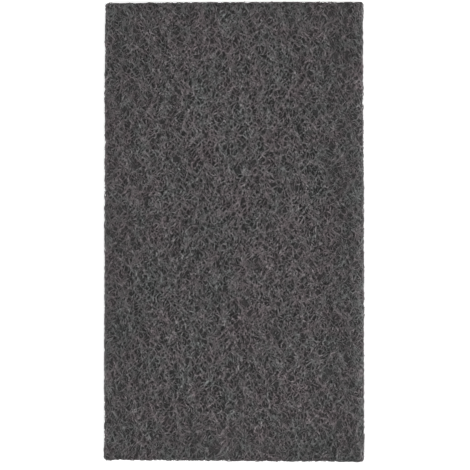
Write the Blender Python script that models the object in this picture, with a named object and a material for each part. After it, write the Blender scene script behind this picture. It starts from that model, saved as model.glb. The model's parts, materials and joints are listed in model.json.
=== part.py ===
"""Abrasive hand pad: one slab of springy nonwoven fibre web, cut to size and lying on one face.

X runs across the pad, Y along it and Z through its thickness, in metres. The origin is the middle of the
lower face. The web has no layers and no core: its fibres are bonded where they cross, so the pad is one
solid. Bundles of fibres lean to either side of the pad's length and cross each other. Their tops are
pressed level, and open pores sink between them.
"""

import math
import random

import bmesh
import bpy
from mathutils import Vector, noise

MM = 0.001

# The cut size. The blade leaves the pad a little out of square: its near end is wider than its far end,
# and its right side is longer than its left.
LENGTH = 230 * MM
WIDTH = 130 * MM
THICKNESS = 8 * MM
NEAR_END_EXCESS = 1.4 * MM
RIGHT_SIDE_EXCESS = 1.5 * MM

# The cut edge. The blade drags both faces down as it passes, and the web springs out between them.
CORNER_RADIUS = 1.2 * MM
ROLL_WIDTH = 5 * MM
ROLL_DROP = 1.3 * MM
WALL_BULGE = 0.4 * MM
WALL_ROWS = 4
EDGE_WANDER = 0.35 * MM
WANDER_WAVE = 45 * MM
EDGE_FRAY = 0.25 * MM

# The web. Crossings of two bundles and pores take turns, across the pad and along it, and the rows of them
# meander. Some bundles break off between two crossings, so that two pores join.
CROSSING_PITCH = 5.4 * MM
CROSSING_RUN = 9.2 * MM
CROSSING_SCATTER = 0.15
BROKEN_SHARE = 0.22
MEANDER = 2.6 * MM
MEANDER_PITCH = 30 * MM
MEANDER_RUN = 50 * MM
WEB_SEED = 7

# Depths under the plane that the bundles' tops are pressed to. Where the web is thick, pores close and
# crossings stay level.
PORE_DEPTH = 1.9 * MM
CROSSING_DEPTH = 0.8 * MM
LOFT_WAVE = 11 * MM
LOFT_CONTRAST = 0.5

# The web was needled in rows, and is thickest along them. They lean off the pad's length, and the first
# crest lies this far from the pad's middle.
ROW_PITCH = 9.4 * MM
ROW_LEAN = 15.5
ROW_OFFSET = 3.7 * MM
ROW_CONTRAST = 0.3

WEB_COLOUR = (0.074, 0.070, 0.072, 1.0)
WEB_ROUGHNESS = 0.9


def clear_scene():
    for leftover in list(bpy.data.objects):
        bpy.data.objects.remove(leftover)


def web_material():
    material = bpy.data.materials.new("grey_nonwoven_web")
    material.use_nodes = True
    shader = material.node_tree.nodes["Principled BSDF"]
    shader.inputs["Base Color"].default_value = WEB_COLOUR
    shader.inputs["Roughness"].default_value = WEB_ROUGHNESS
    shader.inputs["Metallic"].default_value = 0.0
    return material


def stations(span, step):
    """Shares of a span, from -0.5 to 0.5, where the mesh has its lines. The outer two hold the corner's arc."""
    inner = span - 2 * CORNER_RADIUS
    count = max(2, round(inner / step))
    inside = [CORNER_RADIUS + inner * index / count for index in range(count + 1)]
    return [distance / span - 0.5 for distance in (0, *inside, span)]


def unit_slab():
    """A block one unit each way. Crossings and pores take turns on its lines, and its walls have rows."""
    slab = bmesh.new()
    pore = slab.verts.layers.int.new("pore")
    lines = []
    for row, along in enumerate(stations(LENGTH, CROSSING_RUN / 2)):
        lines.append([slab.verts.new((across, along, 0)) for across in stations(WIDTH, CROSSING_PITCH / 2)])
        for column, point in enumerate(lines[-1]):
            point[pore] = (row + column) % 2
    for near, far in zip(lines, lines[1:]):
        for left in range(len(near) - 1):
            slab.faces.new((far[left], far[left + 1], near[left + 1], near[left]))
    raised = bmesh.ops.extrude_face_region(slab, geom=slab.faces[:])["geom"]
    tops = [part for part in raised if isinstance(part, bmesh.types.BMVert)]
    bmesh.ops.translate(slab, vec=(0, 0, 1), verts=tops)
    uprights = [edge for edge in slab.edges if edge.verts[0].co.z != edge.verts[1].co.z]
    bmesh.ops.subdivide_edges(slab, edges=uprights, cuts=WALL_ROWS - 1)
    return slab


def fold_along_bundles(slab, chance):
    """Splits each quad of the two faces along its stretch of bundle, or across it where the bundle breaks off."""
    pore = slab.verts.layers.int["pore"]
    for face in [face for face in slab.faces if len({corner.co.z for corner in face.verts}) == 1]:
        broken = chance.random() < BROKEN_SHARE
        starts_in_pore = bool(face.verts[0][pore])
        first = 1 if starts_in_pore != broken else 0
        bmesh.utils.face_split(face, face.verts[first], face.verts[first + 2])


def roll_share(to_cut):
    """How far down its roll a face has come: 1 at the cut, and 0 from the roll's inner end."""
    return max(0.0, 1 - to_cut / ROLL_WIDTH) ** 2


def looseness(to_cut, pitch):
    """How freely the web's points shift: not at all beside the cut, and fully one pitch in."""
    return min(1.0, max(0.0, (to_cut - CORNER_RADIUS) / pitch))


def wander(along_cut, side):
    """How far one side's cut strays from straight."""
    return EDGE_WANDER * noise.noise(Vector((along_cut / WANDER_WAVE, 7.3 * side, 0.5)))


def drift(place, axis, face):
    """How far the rows of crossings have meandered along one axis."""
    return MEANDER * noise.noise(Vector((place.x / MEANDER_PITCH, place.y / MEANDER_RUN, 20 * axis + 7 * face)))


def crest_share(place):
    """How near a point is to a row's crest: 1 on it, and -1 halfway to the next."""
    lean = math.radians(ROW_LEAN)
    distance = place.x * math.cos(lean) + place.y * math.sin(lean) - ROW_OFFSET
    return math.cos(2 * math.pi * distance / ROW_PITCH)


def sink(place, face, is_pore, chance):
    """How far a crossing or a pore lies under the plane that the bundles' tops are pressed to."""
    loft = noise.noise(Vector((place.x / LOFT_WAVE, place.y / LOFT_WAVE, 30.5 * face)))
    openness = chance.random() + LOFT_CONTRAST * loft - ROW_CONTRAST * crest_share(place)
    openness = min(1.0, max(0.0, openness))
    if is_pore:
        return PORE_DEPTH * openness
    return CROSSING_DEPTH * max(0.0, 2 * openness - 1)


def cut_inset(share, chance):
    """How far a point of the cut walls lies inside the pad's outline."""
    inset = WALL_BULGE * (2 * share.z - 1) ** 2 + EDGE_FRAY * chance.random()
    if abs(share.x) == abs(share.y) == 0.5:
        inset += CORNER_RADIUS * (1 - math.sqrt(0.5))
    return inset


def formed(share, is_pore, chance):
    """The place on the pad of a point of the unit slab."""
    size = (WIDTH - NEAR_END_EXCESS * share.y, LENGTH + RIGHT_SIDE_EXCESS * share.x)
    pitches = (CROSSING_PITCH, CROSSING_RUN)
    straight = Vector((size[0] * share.x, size[1] * share.y, 0))
    place = straight.copy()
    to_cut = [size[axis] / 2 - abs(straight[axis]) for axis in (0, 1)]
    on_cut = [abs(share[axis]) == 0.5 for axis in (0, 1)]
    for axis in (0, 1):
        outward = math.copysign(1, share[axis])
        shift = drift(straight, axis, share.z) + chance.uniform(-1, 1) * CROSSING_SCATTER * pitches[axis]
        place[axis] += shift * looseness(to_cut[axis], pitches[axis])
        stray = wander(straight[1 - axis], 3 * axis + outward) * roll_share(to_cut[axis])
        place[axis] += outward * (stray - cut_inset(share, chance) * on_cut[axis])
    rolled = roll_share(min(to_cut))
    depth = ROLL_DROP * rolled + sink(straight, share.z, is_pore, chance) * (1 - rolled)
    place.z = depth + (THICKNESS - 2 * depth) * share.z
    return place


def centre(slab):
    """Brings the middle of the pad's outline, and its lowest point, to the origin."""
    low = Vector(min(point.co[axis] for point in slab.verts) for axis in range(3))
    high = Vector(max(point.co[axis] for point in slab.verts) for axis in range(3))
    middle = (low + high) / 2
    bmesh.ops.translate(slab, vec=(-middle.x, -middle.y, -low.z), verts=slab.verts)


def abrasive_pad():
    chance = random.Random(WEB_SEED)
    slab = unit_slab()
    fold_along_bundles(slab, chance)
    pore = slab.verts.layers.int["pore"]
    for point in slab.verts:
        point.co = formed(point.co.copy(), point[pore], chance)
    centre(slab)
    bmesh.ops.triangulate(slab, faces=slab.faces)
    bmesh.ops.recalc_face_normals(slab, faces=slab.faces)
    mesh = bpy.data.meshes.new("abrasive_pad")
    slab.to_mesh(mesh)
    slab.free()
    mesh.materials.append(web_material())
    pad = bpy.data.objects.new("abrasive_pad", mesh)
    bpy.context.scene.collection.objects.link(pad)
    return pad


clear_scene()
abrasive_pad()
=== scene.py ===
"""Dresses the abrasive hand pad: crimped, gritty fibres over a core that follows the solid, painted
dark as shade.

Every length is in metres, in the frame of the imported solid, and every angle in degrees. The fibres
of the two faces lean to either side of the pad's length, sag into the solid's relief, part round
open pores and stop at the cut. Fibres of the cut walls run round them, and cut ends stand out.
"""

import json
import math

import bmesh
import bpy
import numpy as np
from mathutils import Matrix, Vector
from mathutils.bvhtree import BVHTree

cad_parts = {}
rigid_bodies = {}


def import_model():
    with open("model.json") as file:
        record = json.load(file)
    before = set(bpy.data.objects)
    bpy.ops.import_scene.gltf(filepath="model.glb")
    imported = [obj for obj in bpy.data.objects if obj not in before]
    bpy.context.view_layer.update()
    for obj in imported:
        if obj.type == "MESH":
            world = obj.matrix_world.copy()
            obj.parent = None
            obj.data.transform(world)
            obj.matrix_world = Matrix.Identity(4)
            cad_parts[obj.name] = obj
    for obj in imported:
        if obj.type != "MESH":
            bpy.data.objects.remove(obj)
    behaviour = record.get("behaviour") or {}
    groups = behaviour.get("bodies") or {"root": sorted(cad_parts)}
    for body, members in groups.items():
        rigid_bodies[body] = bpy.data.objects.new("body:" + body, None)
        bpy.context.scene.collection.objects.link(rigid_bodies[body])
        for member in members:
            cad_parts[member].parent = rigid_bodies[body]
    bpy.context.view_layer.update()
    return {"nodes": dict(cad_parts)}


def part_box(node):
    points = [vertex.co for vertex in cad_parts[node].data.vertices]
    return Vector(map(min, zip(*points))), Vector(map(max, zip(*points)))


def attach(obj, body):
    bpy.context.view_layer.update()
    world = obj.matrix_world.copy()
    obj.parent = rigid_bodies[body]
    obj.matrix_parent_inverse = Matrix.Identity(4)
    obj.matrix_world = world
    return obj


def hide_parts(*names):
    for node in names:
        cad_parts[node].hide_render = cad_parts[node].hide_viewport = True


MM = 0.001
NODE = "abrasive_pad"
BODY = "root"

# The photograph's frame, where the pad's middle lies in it, and the camera that sees it so.
PHOTO_SIDE = 470
PAD_MIDDLE = (234.2, 231.9)
PHOTO_SCALE = 0.5017 * MM
LENS = 100.0
SENSOR = 36.0
CLIP = (0.01, 20.0)

# Lamps that face the origin: place, width and power.
LAMPS = {
    "key": ((0.6, -0.35, 1.28), 0.8, 8.25),
    "fill": ((-1.0, -0.3, 1.0), 0.9, 6.0),
}

# The surroundings: how bright they light the pad, and how bright the camera sees them.
WORLD_LIGHT = 0.42
WORLD_SEEN = 1.0
WHITE = (1, 1, 1, 1)

# The floor. The camera sees it glow, more with its distance from the origin, and not under the pad.
FLOOR_CORNERS = 64
FLOOR_RADIUS = 4.0
FLOOR_COLOUR = (0.8, 0.8, 0.8, 1)
FLOOR_ROUGHNESS = 0.9
FLOOR_GLOSS = 0.1
GLOW = (0.6, 0.9)
GLOW_RUN = (0.2, 1.5)
GLOW_FADE = 1.5 * MM

# How the web's surface is read from the solid. Past a grid's end, its last cell is read.
RAY_START = 10 * MM
GRID_STEP = 0.4 * MM
GRID_END = 1.001
RIM_MARGIN = 0.6 * MM
BRIDGE_REACH = 9

# The roll of both faces towards the cut, as the solid has it.
ROLL_WIDTH = 5 * MM
ROLL_DROP = 1.3 * MM

# Rows that the web was needled in. It is brightest along them.
ROW_PITCH = 9.4 * MM
ROW_LEAN = 15.5
ROW_OFFSET = 3.7 * MM
ROW_SHADE = 0.02

# How each fibre runs, seen from above. Of several tries near one another, the least pored course
# is taken. What the cut leaves of a fibre is dropped when it is shorter than LEAST_STEPS.
SEGMENTS = 8
FINE_STEPS = 32
LEAST_STEPS = FINE_STEPS // 6
FIBRE_SEED = 11
FIBRE_LENGTH = (4.5 * MM, 10 * MM)
FIBRE_RADIUS = (0.14 * MM, 0.28 * MM)
TRIES = 2
TRY_SHIFT = 1.2 * MM
LAY_ANGLE = 36.0
LAY_SPREAD = 13.0
STRAY_SHARE = 0.04
LONG_BEND = (6.0, 22.0)
LONG_WAVE = (10 * MM, 20 * MM)
CRIMP_BEND = (12.0, 34.0)
CRIMP_WAVE = (3.5 * MM, 7 * MM)
CUT_OVERHANG = (-0.2 * MM, 0.36 * MM)
START_BAND = 2 * MM
EVEN_STEPS = (0.7548776662, 0.5698402909)

# How deep each fibre runs. It heaves along its run, sags into the relief and dives at its tips.
RELIEF_SHARE = 0.25
SAG = (0.15, 0.95)
HEAVE = (0.08 * MM, 0.4 * MM)
TIP_DIVE = 0.5 * MM
TIP_DIVE_POWER = 6
FLOOR_GAP = 0.03 * MM

# The fibres of each face: how many, how deep they lie, how many tries each gets, and what share of
# them bridges the pores, which push those aside only by a part.
BRIDGING_SHIFT = 0.2
BRIDGING_SHARE = 0.12
DEEPEST_BRIDGING_SHARE = 0.52
UPPER_COUNT = 3850
UPPER_LAYERS = {
    "a": ((0.6 * MM, 0.9 * MM), 1, DEEPEST_BRIDGING_SHARE),
    "b": ((0.3 * MM, 0.6 * MM), TRIES, BRIDGING_SHARE),
    "c": ((0.1 * MM, 0.4 * MM), TRIES, BRIDGING_SHARE),
    "d": ((0.0 * MM, 0.2 * MM), TRIES, BRIDGING_SHARE),
}
LOWER_COUNT = 2400
LOWER_DEPTHS = (0.0 * MM, 0.5 * MM)

# Each fibre's tube: three corners, beads of resin and narrower tips. Its map has a cell for each
# side of each segment, and a cap takes a share of one.
TUBE_CORNERS = (90, 210, 330)
BEAD_LIMIT = 1.8
BEAD_GIRTH = 0.3
BEAD_SHADE = 0.42
TIP_SHARE = 0.6
CELL_INSET = 0.08
CAP_SHARE = 0.3

# Brightness: each fibre's own tone, and painted shade on fibres that lie deep, down to a depth of
# DEEP.
SHADES = (0.88, 1.1)
DEEP = 2 * MM
DEPTH_PAINTED_SHADE = 0.46
RELIEF_PAINTED_SHADE_SHARE = 0.35

# The band beside the cut, where the blade has closed the web up and evened it out. The web is drawn
# darker in the band, and the core's painted shade is lighter there.
RIM_RUN = 26 * MM
RIM_SHADE = 0.15
RIM_PORES = 0.55
RIM_CALM = 0.3
RIM_CORE = 0.6

# The long sides are duller in a band, and get painted light at the cut, left and right, most on the
# right. The ends get painted shade at the cut.
SIDE_SHADE = 0.06
SIDE_BAND = 26 * MM
SIDE_FADE = 8 * MM
SIDE_PAINTED_LIGHT = (0.04, 0.45)
SIDE_RUN = 6 * MM
END_PAINTED_SHADE = 0.3
END_RUN = 2.5 * MM

# The pores that show between the fibres. Fibres bend round them. They are larger where the solid is
# pored and between two needled rows.
PORE_SEED = 5
PORE_TRIES = 30000
PORE_SPACING = (1.9 * MM, 2.5 * MM)
PORE_REACH = 1.75 * MM
PORE_TALL = 1.25
PORE_CENTRE = 0.01 * MM
PORE_RADIUS = (0.1 * MM, 0.95 * MM)
PORE_RARITY = 2.2
PORE_CLOSED = 0.9
PORE_OPENED = 0.25
ROW_CLOSES = 0.4

# The core under the fibres, painted dark as the shade deep in the web, and the painted shade that
# deepens with the depth of its own pores.
CORE_SUNK = 1.1 * MM
CORE_RELIEF_SHARE = 0.4
CORE_PAINTED_SHADE = 0.165
WELD = 0.001 * MM
PORE_START = 0.4 * MM
PORE_DEEP = 1.2 * MM
PORE_PAINTED_SHADE = 0.2

# The fibres that run round the cut walls. Each lies inside the wall by up to WALL_SUNK.
WALL_COUNT = 1300
WALL_CORNER = 1.4 * MM
WALL_RAY = 20 * MM
WALL_LOW = 1.4 * MM
WALL_FIBRE_LENGTH = (3 * MM, 9 * MM)
WALL_TILT = 16.0
WALL_SUNK = 0.9 * MM
WALL_SUNK_POWER = 1.5
WALL_RISE = 0.35 * MM
WALL_SWAY = 0.25 * MM
WALL_TIP_DIVE = 0.8 * MM
WALL_TIP_POWER = 5

# The cut ends that stand out of the walls.
STUB_COUNT = 1000
STUB_LENGTH = (0.9 * MM, 1.7 * MM)
STUB_PROUD = (0.0, 0.35 * MM)
STUB_LEAN = 32.0
STUB_RISE = 0.2
STUB_BOW = 0.08 * MM

# The resin, and its tints: greener at the first stop and redder at the second.
WEB_ROUGHNESS = 0.7
WEB_GLOSS = 0.3
NOISE_DETAIL = 2.0
NOISE_ROUGHNESS = 0.6
TINT_SCALE = 68.0
TINT_ROUGHNESS = 1.0
TINT_STOPS = (
    (0.35, (0.209, 0.217, 0.214)),
    (0.65, (0.249, 0.216, 0.225)),
)

# The grit in the resin, in specks and in clumps, drawn out along both lays. Some patches are bare.
GRAIN_DETAIL = 1.5
GRAIN_STRETCH = 1.4
GRAIN_LEAN = 32.0
GRAIN_SPAN = (0.8, 1.08)
SPECK_SCALE = 1250.0
SPECK_SHADES = (0.2, 1.45)
CLUMP_SCALE = 660.0
CLUMP_SHADES = (0.5, 1.16)
BARE_SCALE = 130.0
BARE_SPAN = (0.35, 0.65)
BARE_SHARE = 0.7
GRIT_BUMP = 0.5
GRIT_HEIGHT = 0.15 * MM

# Broad clouds of more and less web, drawn out along the needled rows.
CLOUD_SCALE = 52.0
CLOUD_STRETCH = 3.0
CLOUD_SPAN = (0.25, 0.75)
CLOUD_SHADES = (0.925, 1.08)


def solid_tree(node):
    mesh = node.data
    places = [point.co for point in mesh.vertices]
    return BVHTree.FromPolygons(places, [face.vertices for face in mesh.polygons])


class Web:
    """The solid's outline, and how high its two faces lie, as arrays that fibres are placed by.

    Side 1 is the upper face and -1 the lower.
    """

    def __init__(self, node, low, high):
        self.low, self.high = low, high
        self.tree = solid_tree(node)
        self.across = np.arange(low.x, high.x + GRID_STEP, GRID_STEP)
        self.along = np.arange(low.y, high.y + GRID_STEP, GRID_STEP)
        self.left = self.side_line(0, 1, self.along)
        self.right = self.side_line(0, -1, self.along)
        self.near = self.side_line(1, 1, self.across)
        self.far = self.side_line(1, -1, self.across)
        self.relief = {side: self.relief_grid(side) for side in (1, -1)}
        self.bridge = {side: bridged(grid) for side, grid in self.relief.items()}
        self.parting = {side: self.parting_grids(side) for side in (1, -1)}

    def side_line(self, axis, way, stations):
        """Where the cut lies along one side, seen from outside at the middle of the thickness."""
        middle_x, middle_y = (self.low.x + self.high.x) / 2, (self.low.y + self.high.y) / 2
        start = Vector((middle_x, middle_y, self.high.z / 2))
        start[axis] = (self.low if way > 0 else self.high)[axis] - way * RAY_START
        direction = Vector((0, 0, 0))
        direction[axis] = way
        line = []
        for station in stations:
            start[1 - axis] = station
            hit = self.tree.ray_cast(start, direction)[0]
            line.append(np.nan if hit is None else hit[axis])
        line = np.array(line)
        known = ~np.isnan(line)
        return np.interp(stations, stations[known], line[known])

    def side_clearances(self, x, y):
        """How far a point lies inside the left side, and inside the right one."""
        return x - np.interp(y, self.along, self.left), np.interp(y, self.along, self.right) - x

    def end_clearance(self, x, y):
        """How far a point lies inside the two ends."""
        near, far = np.interp(x, self.across, self.near), np.interp(x, self.across, self.far)
        return np.minimum(y - near, far - y)

    def clearance(self, x, y):
        """How far a point lies inside the outline. It is negative outside."""
        return np.minimum(np.minimum(*self.side_clearances(x, y)), self.end_clearance(x, y))

    def inner_share(self, x, y):
        """How far a point is past the band beside the cut."""
        return np.clip(self.clearance(x, y) / RIM_RUN, 0, 1)

    def calm(self, x, y):
        """How far the blade has evened the web out at a point."""
        return RIM_CALM * (1 - self.inner_share(x, y))

    def shade(self, x, y):
        """How bright the web is at a point: brighter along the needled rows, darker beside the cut,
        with painted light at the long sides' cut and painted shade at the ends' cut.
        """
        sides = 0.0
        # Painted light at the cut of each long side, and a duller band inside it.
        for clearance, glow in zip(self.side_clearances(x, y), SIDE_PAINTED_LIGHT):
            sides += glow * np.clip(1 - clearance / SIDE_RUN, 0, 1)
            sides -= SIDE_SHADE * np.clip((SIDE_BAND - clearance) / SIDE_FADE, 0, 1)
        # Painted shade at the cut of both ends.
        ends = END_PAINTED_SHADE * np.clip(1 - self.end_clearance(x, y) / END_RUN, 0, 1)
        rows = 1 + ROW_SHADE * row_crest(x, y)
        return rows * (1 - RIM_SHADE * (1 - self.inner_share(x, y)) + sides - ends)

    def roll(self, x, y):
        """How far both faces have rolled down towards the cut."""
        return ROLL_DROP * np.clip(1 - self.clearance(x, y) / ROLL_WIDTH, 0, 1) ** 2

    def relief_grid(self, side):
        """How deep one face is pored, apart from its roll."""
        level = self.high.z if side > 0 else self.low.z
        outside = level + side * RAY_START
        direction = Vector((0, 0, -side))
        grid = np.zeros((len(self.along), len(self.across)))
        for row, y in enumerate(self.along):
            for column, x in enumerate(self.across):
                inner_x = min(max(x, self.left[row] + RIM_MARGIN), self.right[row] - RIM_MARGIN)
                inner_y = min(max(y, self.near[column] + RIM_MARGIN), self.far[column] - RIM_MARGIN)
                hit = self.tree.ray_cast(Vector((inner_x, inner_y, outside)), direction)[0]
                if hit is not None:
                    grid[row, column] = max(0.0, abs(level - hit.z) - self.roll(inner_x, inner_y))
        return grid

    def pore_radius(self, side, x, y, draw):
        """How far a pore pushes fibres aside. Draw is a random number from 0 to 1."""
        openness = self.read(self.relief[side], x, y) / DEEP - ROW_CLOSES * row_crest(x, y)
        radius = PORE_RADIUS[0] + (PORE_RADIUS[1] - PORE_RADIUS[0]) * draw**PORE_RARITY
        radius *= PORE_CLOSED + PORE_OPENED * openness
        return radius * (RIM_PORES + (1 - RIM_PORES) * self.inner_share(x, y))

    def parting_grids(self, side):
        """How far pores push one face's fibres at each point of the grid, across and along."""
        rng = np.random.default_rng(PORE_SEED + side)
        shift_x, shift_y = np.zeros_like(self.relief[side]), np.zeros_like(self.relief[side])
        grid_x, grid_y = np.meshgrid(self.across, self.along)
        tall_reach = PORE_TALL * PORE_REACH
        for x, y in scattered(rng, self.low, self.high):
            radius = self.pore_radius(side, x, y, rng.random())
            columns = slice(*np.searchsorted(self.across, (x - PORE_REACH, x + PORE_REACH)))
            rows = slice(*np.searchsorted(self.along, (y - tall_reach, y + tall_reach)))
            beside, beyond = grid_x[rows, columns] - x, (grid_y[rows, columns] - y) / PORE_TALL
            distance = np.hypot(beside, beyond) + PORE_CENTRE
            push = radius * np.clip(1 - distance / PORE_REACH, 0, 1) / distance
            shift_x[rows, columns] += push * beside
            shift_y[rows, columns] += push * beyond * PORE_TALL
        return shift_x, shift_y

    def read(self, grid, x, y):
        """A grid's value at any point, with the four cells round it blended."""
        column = np.clip((x - self.across[0]) / GRID_STEP, 0, len(self.across) - GRID_END)
        row = np.clip((y - self.along[0]) / GRID_STEP, 0, len(self.along) - GRID_END)
        left, near = column.astype(int), row.astype(int)
        right_share, far_share = column - left, row - near
        near_row = grid[near, left] * (1 - right_share) + grid[near, left + 1] * right_share
        far_row = grid[near + 1, left] * (1 - right_share) + grid[near + 1, left + 1] * right_share
        return near_row * (1 - far_share) + far_row * far_share


def row_crest(x, y):
    """How near a point is to a needled row: 1 on it, and -1 halfway to the next."""
    lean = math.radians(ROW_LEAN)
    distance = x * math.cos(lean) + y * math.sin(lean) - ROW_OFFSET
    return np.cos(2 * math.pi * distance / ROW_PITCH)


def bridged(grid):
    """The grid with its pores spanned, as a fibre would that rests on the crossings round them."""
    for axis in (0, 1):
        margin = [(0, 0), (0, 0)]
        margin[axis] = (BRIDGE_REACH, BRIDGE_REACH)
        padded = np.pad(grid, margin, mode="edge")
        size = grid.shape[axis]
        starts = range(2 * BRIDGE_REACH + 1)
        windows = [padded.take(range(start, start + size), axis=axis) for start in starts]
        grid = np.minimum.reduce(windows)
    return grid


def scattered(rng, low, high):
    """Places over a rectangle that keep their distance from each other, tried one by one."""
    wide, tall = PORE_SPACING
    cells, places = {}, []
    for x, y in rng.uniform((low.x, low.y), (high.x, high.y), (PORE_TRIES, 2)):
        column, row = int(x // wide), int(y // tall)
        around = [(column + i, row + j) for i in (-1, 0, 1) for j in (-1, 0, 1)]
        near = [place for cell in around for place in cells.get(cell, ())]
        if all(math.hypot((x - u) / wide, (y - v) / tall) >= 1 for u, v in near):
            cells.setdefault((column, row), []).append((x, y))
            places.append((x, y))
    return places


def between(rng, span, count):
    return rng.uniform(span[0], span[1], count)


def bends(rng, spread, wave, run, count):
    """A sway of each fibre's heading along its run, in radians."""
    size = np.radians(between(rng, spread, count))[:, None]
    phase = rng.uniform(0, 2 * math.pi, count)[:, None]
    return size * np.sin(2 * math.pi * run / between(rng, wave, count)[:, None] + phase)


def headings(rng, count):
    """The way each fibre runs, in radians from the pad's length: in one of two lays, or astray."""
    lay = rng.choice((-1, 1), count) * LAY_ANGLE + rng.normal(0, LAY_SPREAD, count)
    stray = rng.uniform(-90, 90, count)
    return np.radians(np.where(rng.random(count) < STRAY_SHARE, stray, lay))


def runs(length):
    """How far along each fibre its fine points lie, from its middle."""
    return length[:, None] * np.linspace(-0.5, 0.5, FINE_STEPS + 1)


def wandering(rng, x, y, heading, length):
    """Fibres that bend as they run, seen from above, each with its start in its middle."""
    count = len(x)
    way = heading[:, None] + bends(rng, LONG_BEND, LONG_WAVE, runs(length), count)
    way = way + bends(rng, CRIMP_BEND, CRIMP_WAVE, runs(length), count)
    step = (length / FINE_STEPS)[:, None]
    path_x = np.cumsum(np.sin(way) * step, axis=1)
    path_y = np.cumsum(np.cos(way) * step, axis=1)
    middle = FINE_STEPS // 2
    path_x += x[:, None] - path_x[:, middle : middle + 1]
    path_y += y[:, None] - path_y[:, middle : middle + 1]
    return path_x, path_y


def trimmed(inside, *paths):
    """Cuts each fibre where it leaves the pad, either way from its middle, and spaces it again."""
    middle = FINE_STEPS // 2
    back = np.logical_and.accumulate(inside[:, middle::-1], axis=1).sum(1) - 1
    ahead = np.logical_and.accumulate(inside[:, middle:], axis=1).sum(1) - 1
    long_enough = back + ahead >= LEAST_STEPS
    first, last = (middle - back)[long_enough], (middle + ahead)[long_enough]
    at = first[:, None] + (last - first)[:, None] * np.linspace(0, 1, SEGMENTS + 1)
    low = np.minimum(at.astype(int), FINE_STEPS - 1)
    share = at - low
    rows = np.flatnonzero(long_enough)[:, None]
    return [path[rows, low] * (1 - share) + path[rows, low + 1] * share for path in paths]


def spread_evenly(rng, low, high, count):
    """Points over a rectangle with no clumps and no bare patches, in no visible order."""
    share = (rng.random(2) + np.outer(np.arange(count), EVEN_STEPS)) % 1.0
    return low.x + share[:, 0] * (high.x - low.x), low.y + share[:, 1] * (high.y - low.y)


def folded_in(place, low, high):
    """Places past either end of a span, folded back over that end."""
    return high - np.abs(high - low - np.abs(place - low))


def along_bundles(rng, web, side, x, y, length, tries):
    """Each fibre's course: of several near one another, the one that crosses the least open web."""
    count = len(x)
    best_x = best_y = best_cost = None
    for _ in range(tries):
        start_x, start_y = x + rng.normal(0, TRY_SHIFT, count), y + rng.normal(0, TRY_SHIFT, count)
        path_x, path_y = wandering(rng, start_x, start_y, headings(rng, count), length)
        cost = web.read(web.relief[side], path_x, path_y).mean(1)
        if best_x is None:
            best_x, best_y, best_cost = path_x, path_y, cost
        better = cost < best_cost
        best_x = np.where(better[:, None], path_x, best_x)
        best_y = np.where(better[:, None], path_y, best_y)
        best_cost = np.where(better, cost, best_cost)
    return best_x, best_y


def face_courses(rng, web, side, count, tries, bridging):
    """Where one face's fibres run, seen from above, and the run and the layer of each point."""
    band = Vector((START_BAND, START_BAND, 0))
    x, y = spread_evenly(rng, web.low - band, web.high + band, count)
    x, y = folded_in(x, web.low.x, web.high.x), folded_in(y, web.low.y, web.high.y)
    length = between(rng, FIBRE_LENGTH, count)
    path_x, path_y = along_bundles(rng, web, side, x, y, length, tries)
    parted = np.where(rng.random(count) < bridging, BRIDGING_SHIFT, 1.0)[:, None]
    shift_x, shift_y = (web.read(shift, path_x, path_y) for shift in web.parting[side])
    path_x, path_y = path_x + parted * shift_x, path_y + parted * shift_y
    overhang = between(rng, CUT_OVERHANG, count)[:, None]
    inside = web.clearance(path_x, path_y) > -overhang
    layer = np.broadcast_to(rng.random(count)[:, None], path_x.shape)
    return trimmed(inside, path_x, path_y, runs(length), layer)


def face_depths(rng, web, side, course, depths):
    """Each fibre's radius, how deep its points lie, and the depth that their painted shade goes by.
    """
    path_x, path_y, run, layer = course
    count = len(path_x)
    radius = between(rng, FIBRE_RADIUS, count)
    sag = between(rng, SAG, count)[:, None]
    spanned = web.read(web.bridge[side], path_x, path_y)
    sunk = web.read(web.relief[side], path_x, path_y)
    heave = between(rng, HEAVE, count)[:, None]
    phase = rng.uniform(0, 2 * math.pi, count)[:, None]
    wave = between(rng, CRIMP_WAVE, count)[:, None]
    lift = heave * (1 + np.sin(2 * math.pi * run / wave + phase))
    dive = TIP_DIVE * np.abs(np.linspace(-1, 1, SEGMENTS + 1)) ** TIP_DIVE_POWER
    relief = RELIEF_SHARE * (spanned + sag * (sunk - spanned))
    under = depths[0] + (depths[1] - depths[0]) * layer + lift + dive
    depth = np.maximum(relief + under + web.roll(path_x, path_y), radius[:, None] + FLOOR_GAP)
    return radius, depth, under + RELIEF_PAINTED_SHADE_SHARE * relief


def face_fibres(rng, web, side, count, depths, tries, bridging):
    """Centre lines, radii and shades of one face's fibres.

    Depths tells how deep the highest and the deepest of them lie.
    """
    course = face_courses(rng, web, side, count, tries, bridging)
    radius, depth, fall = face_depths(rng, web, side, course, depths)
    path_x, path_y = course[:2]
    path_z = (web.high.z - depth) if side > 0 else (web.low.z + depth)
    calm = web.calm(path_x, path_y)
    shade = calm + (1 - calm) * between(rng, SHADES, len(path_x))[:, None]
    # Painted shade on fibres that lie deep, less where the blade has evened the web out.
    shade *= 1 - (1 - calm) * DEPTH_PAINTED_SHADE * np.clip(fall / DEEP, 0, 1)
    return np.stack([path_x, path_y, path_z], axis=2), radius, shade * web.shade(path_x, path_y)


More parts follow.
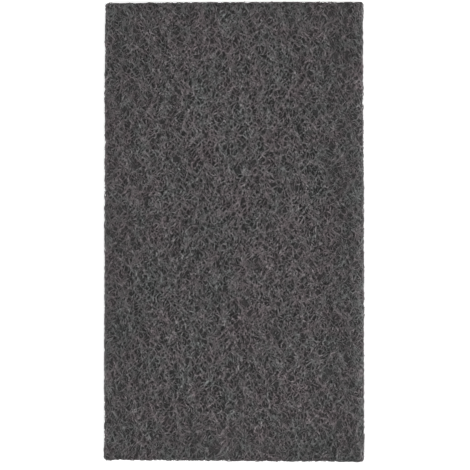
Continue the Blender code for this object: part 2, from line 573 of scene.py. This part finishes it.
def wall_place(web, round_share):
    """A point a share of the way round a rounded rectangle inside the walls, and its way out."""
    low_x, low_y = web.low.x + WALL_CORNER, web.low.y + WALL_CORNER
    wide = web.high.x - web.low.x - 2 * WALL_CORNER
    long = web.high.y - web.low.y - 2 * WALL_CORNER
    arc = WALL_CORNER * math.pi / 2
    lengths = (wide, arc, long, arc, wide, arc, long, arc)
    high_x, high_y = low_x + wide, low_y + long
    corners = ((low_x, low_y), (high_x, low_y), (high_x, high_y), (low_x, high_y))
    left = (round_share % 1.0) * sum(lengths)
    for index, length in enumerate(lengths):
        if left <= length or index == len(lengths) - 1:
            break
        left -= length
    quarter, turning = divmod(index, 2)
    angle = math.radians(-90 + 90 * quarter)
    if turning:
        angle += left / WALL_CORNER
        place = Vector((*corners[(quarter + 1) % 4], 0))
    else:
        ahead = Vector((-math.sin(angle), math.cos(angle), 0))
        place = Vector((*corners[quarter], 0)) + ahead * left
    return place, Vector((math.cos(angle), math.sin(angle), 0))


def on_wall(web, round_share, height, proud):
    """A point that stands proud of the cut wall by a given depth, or lies inside it."""
    base, outward = wall_place(web, round_share)
    start = Vector((base.x, base.y, height)) + outward * WALL_RAY
    hit = web.tree.ray_cast(start, -outward)[0]
    return (hit if hit is not None else base) + outward * proud


def wall_shades(rng, web, paths):
    """Radii and shades of fibres in the cut walls, with the web's painted light and painted shade
    along the cut.
    """
    count = len(paths)
    radius, shade = between(rng, FIBRE_RADIUS, count), between(rng, SHADES, (count, 1))
    return radius, shade * web.shade(paths[..., 0], paths[..., 1])


def wall_fibres(rng, web, count):
    """Centre lines, radii and shades of fibres that run round the walls, level with the faces."""
    way_round = 2 * (web.high.x - web.low.x + web.high.y - web.low.y)
    length = between(rng, WALL_FIBRE_LENGTH, count)
    share, start = np.linspace(-0.5, 0.5, SEGMENTS + 1), rng.random(count)
    height = rng.uniform(WALL_LOW, web.high.z - WALL_LOW, count)
    tilt = np.radians(rng.normal(0, WALL_TILT, count))
    proud = -WALL_SUNK * rng.random(count) ** WALL_SUNK_POWER
    wave, phase = between(rng, CRIMP_WAVE, count), rng.uniform(0, 2 * math.pi, (2, count))
    dive = WALL_TIP_DIVE * np.abs(2 * share) ** WALL_TIP_POWER
    paths = np.zeros((count, SEGMENTS + 1, 3))
    for fibre in range(count):
        run = length[fibre] * share
        sway = 2 * math.pi * run / wave[fibre]
        rise = np.tan(tilt[fibre]) * run + WALL_RISE * np.sin(sway + phase[0, fibre])
        z = np.clip(height[fibre] + rise, WALL_LOW, web.high.z - WALL_LOW)
        out = proud[fibre] + WALL_SWAY * np.sin(sway + phase[1, fibre]) - dive
        for index in range(SEGMENTS + 1):
            round_share = start[fibre] + run[index] / way_round
            paths[fibre, index] = on_wall(web, round_share, z[index], out[index])
    return paths, *wall_shades(rng, web, paths)


def stubs(rng, web, count):
    """Centre lines, radii and shades of cut ends of fibres that stand out of the walls."""
    paths = np.zeros((count, 3, 3))
    for fibre in range(count):
        height = rng.uniform(WALL_LOW, web.high.z - WALL_LOW)
        round_share = rng.random()
        outward = wall_place(web, round_share)[1]
        lean = rng.normal(0, math.radians(STUB_LEAN))
        turned = Vector(
            (
                outward.x * math.cos(lean) - outward.y * math.sin(lean),
                outward.x * math.sin(lean) + outward.y * math.cos(lean),
                rng.normal(0, STUB_RISE),
            )
        )
        tip = on_wall(web, round_share, height, rng.uniform(*STUB_PROUD))
        length = rng.uniform(*STUB_LENGTH)
        bow = Vector((0, 0, rng.normal(0, STUB_BOW)))
        paths[fibre] = [tip - turned * length, tip - turned * length / 2 + bow, tip]
    return paths, *wall_shades(rng, web, paths)


def core_form(web, body):
    """Draws the core in under the fibres, eases its relief, and tells how bright each point is:
    painted shade.
    """
    middle = (web.low.z + web.high.z) / 2
    places, shades = [], []
    for point in body.verts:
        x, y, z = point.co
        is_upper = z > middle
        relief = (web.high.z - z if is_upper else z - web.low.z) - float(web.roll(x, y))
        # The core's brightness is painted shade, lighter in the band beside the cut.
        shade = CORE_PAINTED_SHADE * (1 + RIM_CORE * (1 - float(web.inner_share(x, y))))
        if web.clearance(x, y) < RIM_MARGIN:
            places.append(point.co - point.normal * CORE_SUNK)
        else:
            drawn_out = (1 - CORE_RELIEF_SHARE) * relief - CORE_SUNK
            places.append(point.co + Vector((0, 0, drawn_out if is_upper else -drawn_out)))
            # Painted shade that deepens with the depth of the pore.
            pored = min(1, max(0, (relief - PORE_START) / PORE_DEEP))
            shade *= float(web.shade(x, y)) * (1 - PORE_PAINTED_SHADE * pored)
        shades.append(shade)
    for point, place in zip(body.verts, places):
        point.co = place
    return shades


def mark_points(mesh, name, values):
    mark = mesh.attributes.new(name, "FLOAT", "POINT")
    mark.data.foreach_set("value", values)


def tube_points(paths, girth):
    """The corners of three-sided tubes round their centre lines."""
    ahead = np.gradient(paths, axis=1)
    ahead /= np.linalg.norm(ahead, axis=2, keepdims=True)
    beside = np.cross(ahead, (0, 0, 1))
    beside /= np.linalg.norm(beside, axis=2, keepdims=True)
    above = np.cross(beside, ahead)
    turn = np.radians(TUBE_CORNERS)
    ring = beside[:, :, None] * np.cos(turn)[:, None] + above[:, :, None] * np.sin(turn)[:, None]
    return paths[:, :, None] + girth[:, :, None, None] * ring


def tube_faces(count, points):
    """The points of each face in one row, of walls and then of caps, and how many each face has."""
    first = (np.arange(count * points) * 3).reshape(count, points)
    near, far = first[:, :-1, None], first[:, 1:, None]
    side = np.arange(3)
    beyond = (side + 1) % 3
    walls = np.stack([near + side, far + side, far + beyond, near + beyond], axis=3).reshape(-1, 4)
    caps = np.concatenate([first[:, 0, None] + (0, 1, 2), first[:, -1, None] + (2, 1, 0)])
    sizes = np.repeat((4, 3), (len(walls), len(caps)))
    return np.concatenate([walls.ravel(), caps.ravel()]), sizes


def tube_mesh(name, places, corners, sizes):
    mesh = bpy.data.meshes.new(name)
    mesh.vertices.add(places.size // 3)
    mesh.vertices.foreach_set("co", places.ravel())
    mesh.loops.add(len(corners))
    mesh.loops.foreach_set("vertex_index", corners)
    mesh.polygons.add(len(sizes))
    mesh.polygons.foreach_set("loop_start", np.cumsum(sizes) - sizes)
    mesh.update(calc_edges=True)
    mesh.validate()
    mesh.shade_smooth()
    return mesh


def tube_piece(web, name, paths, radius, shades, material):
    """One mesh of closed, three-sided tubes, with a map that lays each of them out by itself."""
    count, points = paths.shape[:2]
    rng = np.random.default_rng(FIBRE_SEED)
    bead = rng.normal(0, 1, (count, points)).clip(-BEAD_LIMIT, BEAD_LIMIT)
    girth = radius[:, None] * (1 + BEAD_GIRTH * bead)
    girth[:, [0, -1]] *= TIP_SHARE
    mesh = tube_mesh(name, tube_points(paths, girth), *tube_faces(count, points))
    # The shade mark holds each fibre's own tone and beads, with the web's painted shade and painted
    # light.
    mark_points(mesh, "shade", np.repeat((shades * (1 + BEAD_SHADE * bead)).ravel(), 3))
    mark_points(mesh, "calm", np.repeat(web.calm(paths[..., 0], paths[..., 1]).ravel(), 3))
    lay_out(mesh, count, points - 1)
    mesh.materials.append(material)
    return placed(bpy.data.objects.new(name, mesh))


def lay_out(mesh, count, segments):
    """A map in rows of segments, three sides tall, where each segment has a cell for itself."""
    total = count * segments
    per_row = math.ceil(math.sqrt(total * 3))
    rows = math.ceil(total / per_row)
    segment = np.repeat(np.arange(total), 3)
    side = np.tile(np.arange(3), total)
    left, low = segment % per_row + CELL_INSET, (segment // per_row) * 3 + side + CELL_INSET
    right, high = left + 1 - 2 * CELL_INSET, low + 1 - 2 * CELL_INSET
    u = np.stack([left, right, right, left], axis=1) / per_row
    v = np.stack([low, low, high, high], axis=1) / (rows * 3)
    walls = np.stack([u, v], axis=2).reshape(-1, 2)
    first = np.arange(count) * segments
    corner = np.array([(0, 0), (CAP_SHARE, 0), (0, CAP_SHARE)]) / (per_row, rows * 3)
    caps = []
    for cell in (first, first + segments - 1):
        spot = np.stack([(cell % per_row + 0.5) / per_row, (cell // per_row + 0.5) / rows], axis=1)
        caps.append((spot[:, None] + corner).reshape(-1, 2))
    layer = mesh.uv_layers.new(name="OFBake")
    layer.data.foreach_set("uv", np.concatenate([walls, *caps]).ravel())


def placed(piece):
    """Puts a piece in the scene, on its body."""
    bpy.context.scene.collection.objects.link(piece)
    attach(piece, BODY)
    return piece


class NodeTree:
    """The nodes of a material or of the world, with short ways to add to them.

    Each way takes sockets that feed the new node, and gives the socket of its result.
    """

    def __init__(self, owner):
        owner.use_nodes = True
        self.nodes, self.links = owner.node_tree.nodes, owner.node_tree.links

    def object_place(self):
        return self.nodes.new("ShaderNodeTexCoord").outputs["Object"]

    def leaned(self, place, lean, stretch, shift=0.0):
        """A place in a frame that leans off the pad's length and is drawn out along it."""
        mapping = self.nodes.new("ShaderNodeMapping")
        mapping.vector_type = "TEXTURE"
        mapping.inputs["Rotation"].default_value = (0, 0, math.radians(lean))
        mapping.inputs["Scale"].default_value = (1, stretch, 1)
        mapping.inputs["Location"].default_value = (shift, 0, 0)
        self.links.new(place, mapping.inputs["Vector"])
        return mapping.outputs["Vector"]

    def noise(self, place, scale, detail=NOISE_DETAIL, roughness=NOISE_ROUGHNESS):
        texture = self.nodes.new("ShaderNodeTexNoise")
        texture.inputs["Scale"].default_value = scale
        texture.inputs["Detail"].default_value = detail
        texture.inputs["Roughness"].default_value = roughness
        self.links.new(place, texture.inputs["Vector"])
        return texture.outputs["Fac"]

    def mark(self, name):
        """A value that the mesh's points carry."""
        attribute = self.nodes.new("ShaderNodeAttribute")
        attribute.attribute_name = name
        return attribute.outputs["Fac"]

    def mapped(self, value, source, target, smooth=False):
        """A value moved from one span to another, and kept within it."""
        level = self.nodes.new("ShaderNodeMapRange")
        level.interpolation_type = "SMOOTHSTEP" if smooth else "LINEAR"
        level.inputs["From Min"].default_value, level.inputs["From Max"].default_value = source
        level.inputs["To Min"].default_value, level.inputs["To Max"].default_value = target
        self.links.new(value, level.inputs["Value"])
        return level.outputs["Result"]

    def combined(self, operation, first, second, clamped=False):
        result = self.nodes.new("ShaderNodeMath")
        result.operation, result.use_clamp = operation, clamped
        self.links.new(first, result.inputs[0])
        self.links.new(second, result.inputs[1])
        return result.outputs[0]

    def camera_only(self):
        """1 on rays from the camera, and on those seen in gloss or through glass."""
        path = self.nodes.new("ShaderNodeLightPath")
        total = path.outputs["Is Camera Ray"]
        for name in ("Is Glossy Ray", "Is Transmission Ray"):
            total = self.combined("ADD", total, path.outputs[name], clamped=True)
        return total


def grain(tree, place, scale, shades):
    """Grit in short strokes that lean both ways, as the fibres do."""
    strokes = []
    for lean in (-GRAIN_LEAN, GRAIN_LEAN):
        leaned = tree.leaned(place, lean, GRAIN_STRETCH, shift=lean)
        strokes.append(tree.noise(leaned, scale, detail=GRAIN_DETAIL))
    return tree.mapped(tree.combined("ADD", *strokes), GRAIN_SPAN, shades)


def web_brightness(tree, place, speck):
    """The brightness of the resin: the mesh's shade mark, which holds its own tone with painted
    shade and painted light, broken up by grit and by broad clouds.
    """
    clump = grain(tree, place, CLUMP_SCALE, CLUMP_SHADES)
    bare = tree.mapped(tree.noise(place, BARE_SCALE), BARE_SPAN, (0.0, BARE_SHARE))
    bare = tree.combined("ADD", tree.mark("calm"), bare, clamped=True)
    evened = tree.nodes.new("ShaderNodeMix")
    tree.links.new(bare, evened.inputs["Factor"])
    tree.links.new(tree.combined("MULTIPLY", speck, clump), evened.inputs["A"])
    evened.inputs["B"].default_value = 1.0
    leaned = tree.leaned(place, ROW_LEAN, CLOUD_STRETCH)
    cloud = tree.mapped(tree.noise(leaned, CLOUD_SCALE), CLOUD_SPAN, CLOUD_SHADES)
    # The shade mark carries painted shade and painted light as well as the web's own tone.
    gritted = tree.combined("MULTIPLY", tree.mark("shade"), evened.outputs["Result"])
    return tree.combined("MULTIPLY", gritted, cloud)


def web_material():
    """Resin-coated fibre with grit in it: greyish, redder in some patches and greener in others."""
    material = bpy.data.materials.new("grit_coated_web")
    tree = NodeTree(material)
    place = tree.object_place()
    speck = grain(tree, place, SPECK_SCALE, SPECK_SHADES)
    tint = tree.nodes.new("ShaderNodeValToRGB")
    for element, (stop, colour) in zip(tint.color_ramp.elements, TINT_STOPS):
        element.position, element.color = stop, (*colour, 1)
    patches = tree.noise(place, TINT_SCALE, roughness=TINT_ROUGHNESS)
    tree.links.new(patches, tint.inputs["Fac"])
    colour = tree.nodes.new("ShaderNodeVectorMath")
    colour.operation = "SCALE"
    tree.links.new(tint.outputs["Color"], colour.inputs[0])
    tree.links.new(web_brightness(tree, place, speck), colour.inputs["Scale"])
    bump = tree.nodes.new("ShaderNodeBump")
    bump.inputs["Strength"].default_value = GRIT_BUMP
    bump.inputs["Distance"].default_value = GRIT_HEIGHT
    tree.links.new(speck, bump.inputs["Height"])
    shader = tree.nodes["Principled BSDF"]
    shader.inputs["Roughness"].default_value = WEB_ROUGHNESS
    shader.inputs["Specular IOR Level"].default_value = WEB_GLOSS
    tree.links.new(colour.outputs[0], shader.inputs["Base Color"])
    tree.links.new(bump.outputs["Normal"], shader.inputs["Normal"])
    return material


def web_core(web, node, material):
    """The body under the fibres: the solid drawn in a little, with its points doubled both ways."""
    body = bmesh.new()
    body.from_mesh(node.data)
    bmesh.ops.remove_doubles(body, verts=body.verts, dist=WELD)
    bmesh.ops.subdivide_edges(body, edges=body.edges, cuts=1, use_grid_fill=True)
    bmesh.ops.triangulate(body, faces=body.faces)
    body.normal_update()
    shades = core_form(web, body)
    mesh = bpy.data.meshes.new("web_core")
    body.to_mesh(mesh)
    body.free()
    # The core's shade mark is painted shade.
    mark_points(mesh, "shade", shades)
    mark_points(mesh, "calm", [float(web.calm(point.co.x, point.co.y)) for point in mesh.vertices])
    mesh.shade_smooth()
    mesh.materials.append(material)
    return placed(bpy.data.objects.new("web_core", mesh))


def build_pad(frame):
    low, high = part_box(NODE)
    rng = np.random.default_rng(FIBRE_SEED)
    web = Web(frame["nodes"][NODE], low, high)
    material = web_material()
    core = web_core(web, frame["nodes"][NODE], material)
    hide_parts(NODE)
    for letter, (depths, tries, bridging) in UPPER_LAYERS.items():
        fibres = face_fibres(rng, web, 1, UPPER_COUNT, depths, tries, bridging)
        tube_piece(web, "upper_fibres_" + letter, *fibres, material)
    lower = face_fibres(rng, web, -1, LOWER_COUNT, LOWER_DEPTHS, TRIES, BRIDGING_SHARE)
    tube_piece(web, "lower_fibres", *lower, material)
    tube_piece(web, "wall_fibres", *wall_fibres(rng, web, WALL_COUNT), material)
    tube_piece(web, "cut_ends", *stubs(rng, web, STUB_COUNT), material)


def glow_outside(tree, place, high):
    """0 where the pad hides the floor, and 1 past its outline."""
    mirrored = tree.nodes.new("ShaderNodeVectorMath")
    mirrored.operation = "ABSOLUTE"
    tree.links.new(place, mirrored.inputs[0])
    past = tree.nodes.new("ShaderNodeVectorMath")
    past.operation = "SUBTRACT"
    past.inputs[1].default_value = (high.x, high.y, 0)
    tree.links.new(mirrored.outputs[0], past.inputs[0])
    split = tree.nodes.new("ShaderNodeSeparateXYZ")
    tree.links.new(past.outputs[0], split.inputs[0])
    furthest = tree.combined("MAXIMUM", split.outputs["X"], split.outputs["Y"])
    return tree.mapped(furthest, (-GLOW_FADE, 0.0), (0.0, 1.0))


def build_floor(high):
    material = bpy.data.materials.new("pale_floor")
    tree = NodeTree(material)
    place = tree.object_place()
    distance = tree.nodes.new("ShaderNodeVectorMath")
    distance.operation = "LENGTH"
    tree.links.new(place, distance.inputs[0])
    glow = tree.mapped(distance.outputs["Value"], GLOW_RUN, GLOW, smooth=True)
    strength = tree.combined("MULTIPLY", tree.camera_only(), glow)
    strength = tree.combined("MULTIPLY", strength, glow_outside(tree, place, high))
    shader = tree.nodes["Principled BSDF"]
    shader.inputs["Base Color"].default_value = FLOOR_COLOUR
    shader.inputs["Roughness"].default_value = FLOOR_ROUGHNESS
    shader.inputs["Specular IOR Level"].default_value = FLOOR_GLOSS
    shader.inputs["Emission Color"].default_value = WHITE
    tree.links.new(strength, shader.inputs["Emission Strength"])
    bpy.ops.mesh.primitive_circle_add(
        vertices=FLOOR_CORNERS, radius=FLOOR_RADIUS, fill_type="NGON", location=(0, 0, 0)
    )
    floor = bpy.context.object
    floor.name = "floor"
    floor.data.materials.append(material)


def build_world():
    world = bpy.data.worlds.new("studio")
    tree = NodeTree(world)
    strength = tree.mapped(tree.camera_only(), (0.0, 1.0), (WORLD_LIGHT, WORLD_SEEN))
    background = tree.nodes["Background"]
    background.inputs["Color"].default_value = WHITE
    tree.links.new(strength, background.inputs["Strength"])
    bpy.context.scene.world = world


def area_lamp(name, place, size, power):
    lamp = bpy.data.lights.new(name, "AREA")
    lamp.shape = "SQUARE"
    lamp.size = size
    lamp.energy = power
    holder = bpy.data.objects.new(name, lamp)
    holder.location = place
    holder.rotation_euler = (-Vector(place)).to_track_quat("-Z", "Y").to_euler()
    bpy.context.scene.collection.objects.link(holder)


def build_camera(high):
    """Looks straight down, so that the pad's upper face fills the frame as in the photograph."""
    camera = bpy.data.cameras.new("camera")
    camera.lens = LENS
    camera.sensor_width = SENSOR
    camera.clip_start, camera.clip_end = CLIP
    holder = bpy.data.objects.new("camera", camera)
    distance = PHOTO_SIDE * PHOTO_SCALE * LENS / SENSOR
    right = (PHOTO_SIDE / 2 - PAD_MIDDLE[0]) * PHOTO_SCALE
    down = (PHOTO_SIDE / 2 - PAD_MIDDLE[1]) * PHOTO_SCALE
    holder.location = (right, -down, high.z / 2 + distance)
    bpy.context.scene.collection.objects.link(holder)
    bpy.context.scene.camera = holder


def main():
    for leftover in list(bpy.data.objects):
        bpy.data.objects.remove(leftover)
    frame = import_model()
    build_camera(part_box(NODE)[1])
    build_pad(frame)
    build_floor(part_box(NODE)[1])
    build_world()
    for name, (place, size, power) in LAMPS.items():
        area_lamp(name, place, size, power)
    bpy.context.scene.view_settings.view_transform = "Standard"


main()
